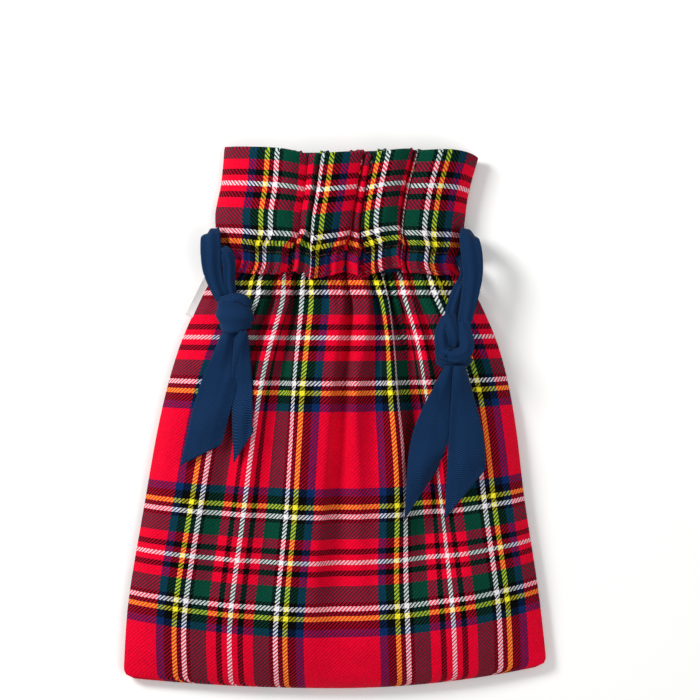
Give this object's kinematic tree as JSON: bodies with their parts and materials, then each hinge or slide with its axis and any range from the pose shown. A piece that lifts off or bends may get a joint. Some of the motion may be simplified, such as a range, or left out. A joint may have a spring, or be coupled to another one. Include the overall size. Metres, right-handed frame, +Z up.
{
  "type": "fabric gift sack",
  "caption": "Drawstring gift sack of woven tartan cloth with a deep turned-over cuff, gathered neck and knotted tapes at both sides.",
  "frame": {"origin": "under the middle of the sack's bounding box, on the surface the sack lies on", "axes": "+Z up from the back cloth to the front, +Y along the sack toward its mouth, +X to the right seen from above"},
  "size_m": [0.2589, 0.3315, 0.0311],
  "materials": {
    "tartan_cloth": "2/2 twill worsted cloth woven in a red, green and navy check with white and yellow lines, matte",
    "drawstring_tape": "navy herringbone twill tape, matte with a faint sheen",
    "sewing_thread": "dark red spun polyester thread",
    "woven_label": "blank white woven damask label"
  },
  "bodies": {
    "sack": {"front_panel": "tartan_cloth", "back_panel": "tartan_cloth", "front_casing": "tartan_cloth", "back_casing": "tartan_cloth", "back_heading": "tartan_cloth", "front_lower_stitching": "sewing_thread", "front_upper_stitching": "sewing_thread", "back_lower_stitching": "sewing_thread", "back_upper_stitching": "sewing_thread", "left_seam_allowance": "sewing_thread", "right_seam_allowance": "sewing_thread", "bottom_seam_allowance": "sewing_thread", "left_tape_in_casing": "drawstring_tape", "right_tape_in_casing": "drawstring_tape"},
    "front_mouth": {"front_heading": "tartan_cloth"},
    "left_drawstring": {"left_front_strand": "drawstring_tape", "left_back_strand": "drawstring_tape", "left_knot": "drawstring_tape"},
    "right_drawstring": {"right_front_strand": "drawstring_tape", "right_back_strand": "drawstring_tape", "right_knot": "drawstring_tape"},
    "left_outer_tail": {"left_outer_tail": "drawstring_tape"},
    "left_inner_tail": {"left_inner_tail": "drawstring_tape"},
    "right_inner_tail": {"right_inner_tail": "drawstring_tape"},
    "right_outer_tail": {"right_outer_tail": "drawstring_tape"},
    "label": {"side_label": "woven_label"}
  },
  "joints": [
    {"name": "mouth_lift", "type": "hinge", "parent": "sack", "child": "front_mouth", "pos_m": [0, 0.103, 0.024], "axis": [1, 0, 0], "range_deg": [0, 35]},
    {"name": "left_drawstring_pull", "type": "slide", "parent": "sack", "child": "left_drawstring", "axis": [-1, 0, 0], "range_m": [0, 0.025]},
    {"name": "right_drawstring_pull", "type": "slide", "parent": "sack", "child": "right_drawstring", "axis": [1, 0, 0], "range_m": [0, 0.025]},
    {"name": "left_outer_tail_lift", "type": "hinge", "parent": "left_drawstring", "child": "left_outer_tail", "pos_m": [-0.0642, 0.0492, 0.0195], "axis": [-1, 0, 0], "range_deg": [0, 80]},
    {"name": "left_inner_tail_lift", "type": "hinge", "parent": "left_drawstring", "child": "left_inner_tail", "pos_m": [-0.0575, 0.0492, 0.0203], "axis": [-1, 0, 0], "range_deg": [0, 80]},
    {"name": "right_inner_tail_lift", "type": "hinge", "parent": "right_drawstring", "child": "right_inner_tail", "pos_m": [0.069, 0.0283, 0.0227], "axis": [-1, 0, 0], "range_deg": [0, 80]},
    {"name": "right_outer_tail_lift", "type": "hinge", "parent": "right_drawstring", "child": "right_outer_tail", "pos_m": [0.075, 0.0283, 0.0218], "axis": [-1, 0, 0], "range_deg": [0, 80]},
    {"name": "label_fold", "type": "hinge", "parent": "sack", "child": "label", "pos_m": [-0.0884, 0.0624, 0.0063], "axis": [0.4529, 0.8916, 0], "range_deg": [0, 80]}
  ]
}
